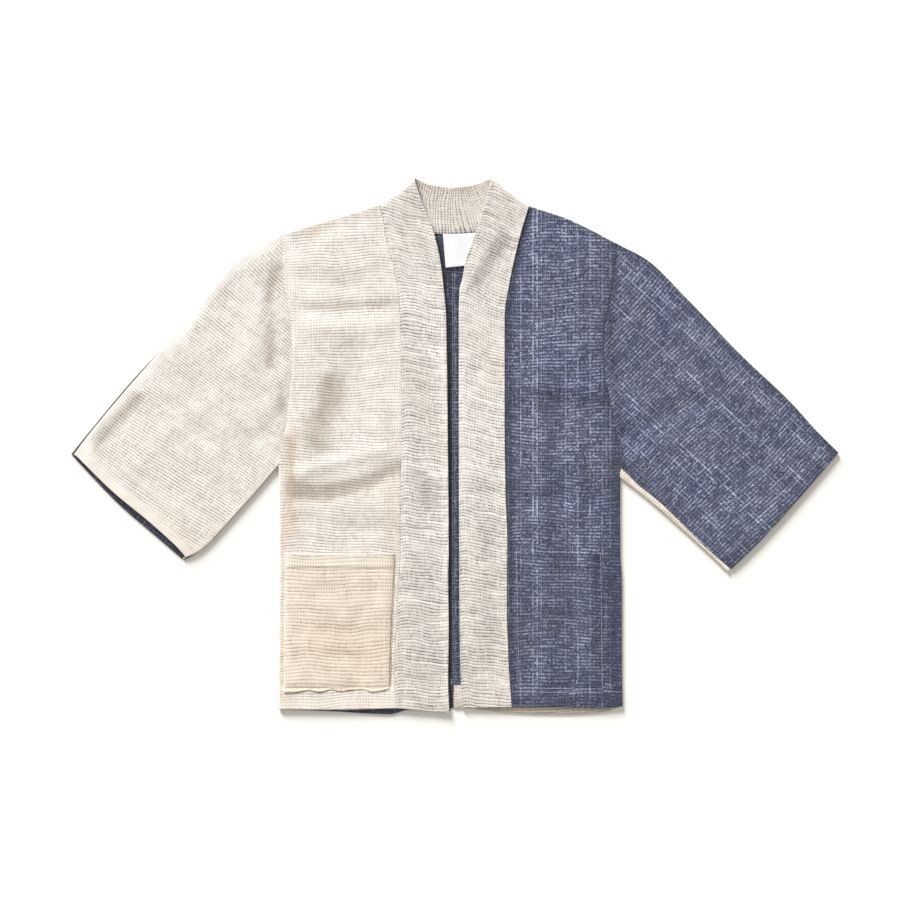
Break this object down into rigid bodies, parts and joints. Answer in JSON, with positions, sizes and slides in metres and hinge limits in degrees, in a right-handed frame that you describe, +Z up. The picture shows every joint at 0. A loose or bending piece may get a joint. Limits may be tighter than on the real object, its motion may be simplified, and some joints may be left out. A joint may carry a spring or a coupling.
{
  "type": "kimono jacket",
  "caption": "Short open-front kimono jacket laid flat on its back, half cream and half indigo, with wide angled sleeves, a straight collar band and patch pockets.",
  "frame": {"origin": "middle of the laid jacket's box in plan, on the surface that the jacket lies on", "axes": "+X towards the wearer's left sleeve, +Y from the hem to the collar, +Z up off the surface"},
  "size_m": [1.1498, 0.805, 0.0104],
  "materials": {
    "cream_cloth": "matte handwoven cotton, fine raised ribs",
    "indigo_cloth": "matte handwoven cotton, pale slubs",
    "collar_cloth": "matte ribbed cotton",
    "pocket_cloth": "matte handwoven cotton, raised ribs",
    "label_cloth": "smooth woven tape"
  },
  "bodies": {
    "root": {"front_right": "cream_cloth", "front_left": "indigo_cloth", "back_right": "indigo_cloth", "back_left": "cream_cloth", "sleeve_right_front": "cream_cloth", "sleeve_right_back": "indigo_cloth", "sleeve_left_front": "indigo_cloth", "sleeve_left_back": "cream_cloth", "collar": "collar_cloth", "pocket_right": "pocket_cloth", "pocket_left": "indigo_cloth", "label": "label_cloth"}
  },
  "joints": []
}
